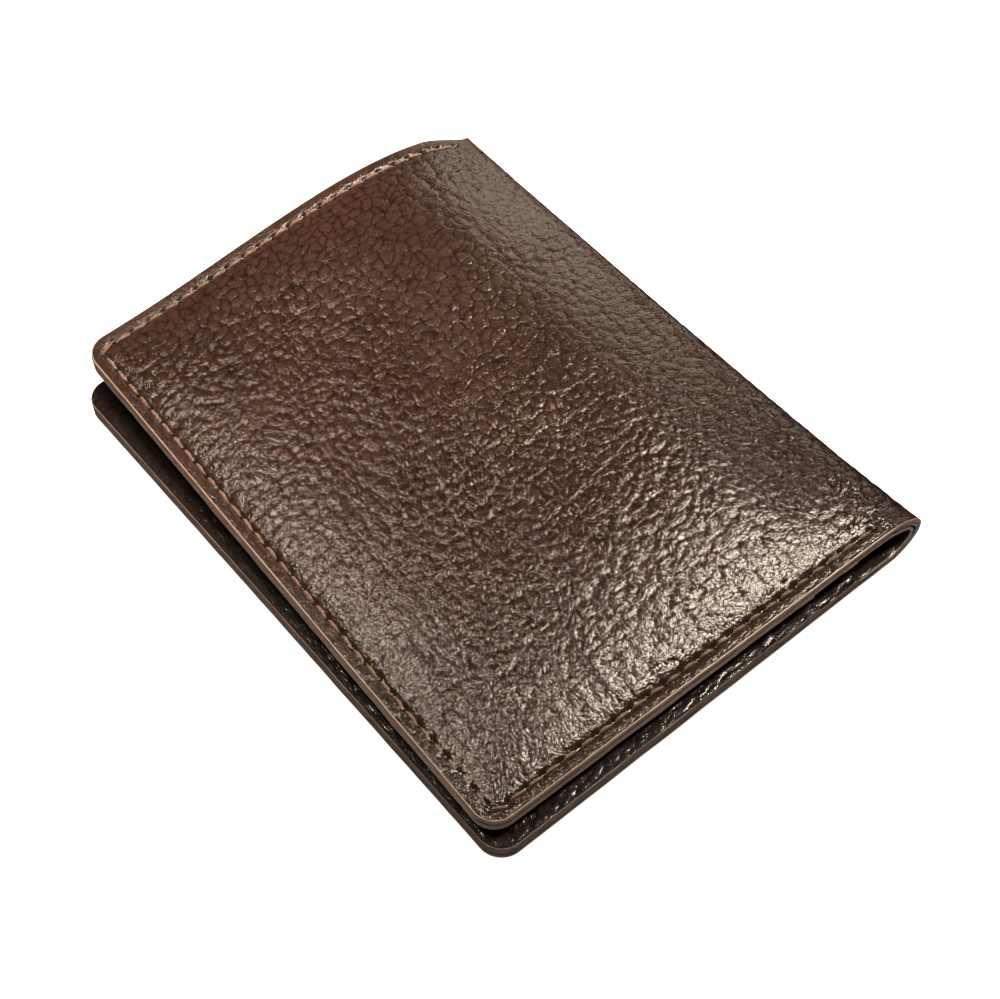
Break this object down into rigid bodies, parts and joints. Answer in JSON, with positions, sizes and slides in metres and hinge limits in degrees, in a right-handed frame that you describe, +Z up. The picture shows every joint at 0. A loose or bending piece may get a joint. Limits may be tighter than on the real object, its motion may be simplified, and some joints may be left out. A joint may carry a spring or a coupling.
{
  "type": "trifold wallet",
  "caption": "Closed brown pebbled-leather pocket wallet that opens at a soft fold, with stepped card pockets, a lined bill compartment and a hinged centre flap with an ID window.",
  "frame": {"origin": "under the middle of the closed wallet's bounding box, on the surface it lies on", "axes": "+Y along the fold, +X from the free edges to the fold, +Z up through the closed wallet"},
  "size_m": [0.085, 0.108, 0.0109],
  "materials": {
    "outer_leather": "semi-gloss pebbled grain, dark brown",
    "inner_leather": "glossy small-pebble grain, near-black brown",
    "woven_lining": "matt twill, dark teal grey",
    "foam_padding": "soft foam sheet",
    "thread": "waxed tan thread",
    "clear_film": "clear flexible film, glossy"
  },
  "bodies": {
    "back_cover": {"outer_leather_back": "outer_leather", "padding_back": "foam_padding", "bill_lining_back": "woven_lining", "inner_leather_back": "inner_leather", "card_pocket_back_1": "inner_leather", "card_pocket_back_2": "inner_leather", "card_pocket_back_3": "inner_leather", "stitching_back": "thread", "flap_hinge_strip": "inner_leather"},
    "spine": {"outer_leather_spine": "outer_leather", "bill_lining_spine": "woven_lining", "inner_leather_spine": "inner_leather"},
    "front_cover": {"outer_leather_front": "outer_leather", "padding_front": "foam_padding", "bill_lining_front": "woven_lining", "inner_leather_front": "inner_leather", "card_pocket_front_1": "inner_leather", "card_pocket_front_2": "inner_leather", "stitching_front": "thread"},
    "center_flap": {"flap_backing": "inner_leather", "flap_window_frame": "inner_leather", "flap_window_film": "clear_film", "flap_card_pocket": "inner_leather", "flap_stitching": "thread"}
  },
  "joints": [
    {"name": "spine_fold", "type": "hinge", "parent": "back_cover", "child": "spine", "pos_m": [0.04164, 0, 0.00166], "axis": [0, 1, 0], "range_deg": [0, 90], "deforming": ["outer_leather_spine", "bill_lining_spine", "inner_leather_spine"]},
    {"name": "cover_fold", "type": "hinge", "parent": "spine", "child": "front_cover", "pos_m": [0.04164, 0, 0.00794], "axis": [0, 1, 0], "range_deg": [0, 89], "deforming": ["outer_leather_spine", "bill_lining_spine", "inner_leather_spine"]},
    {"name": "flap_fold", "type": "hinge", "parent": "back_cover", "child": "center_flap", "pos_m": [0.034, 0, 0.0038], "axis": [0, 1, 0], "range_deg": [0, 90]}
  ],
  "couplings": [
    {"joint": "cover_fold", "follows": "spine_fold", "ratio": 0.98889},
    {"joint": "flap_fold", "follows": "spine_fold", "ratio": 1}
  ]
}
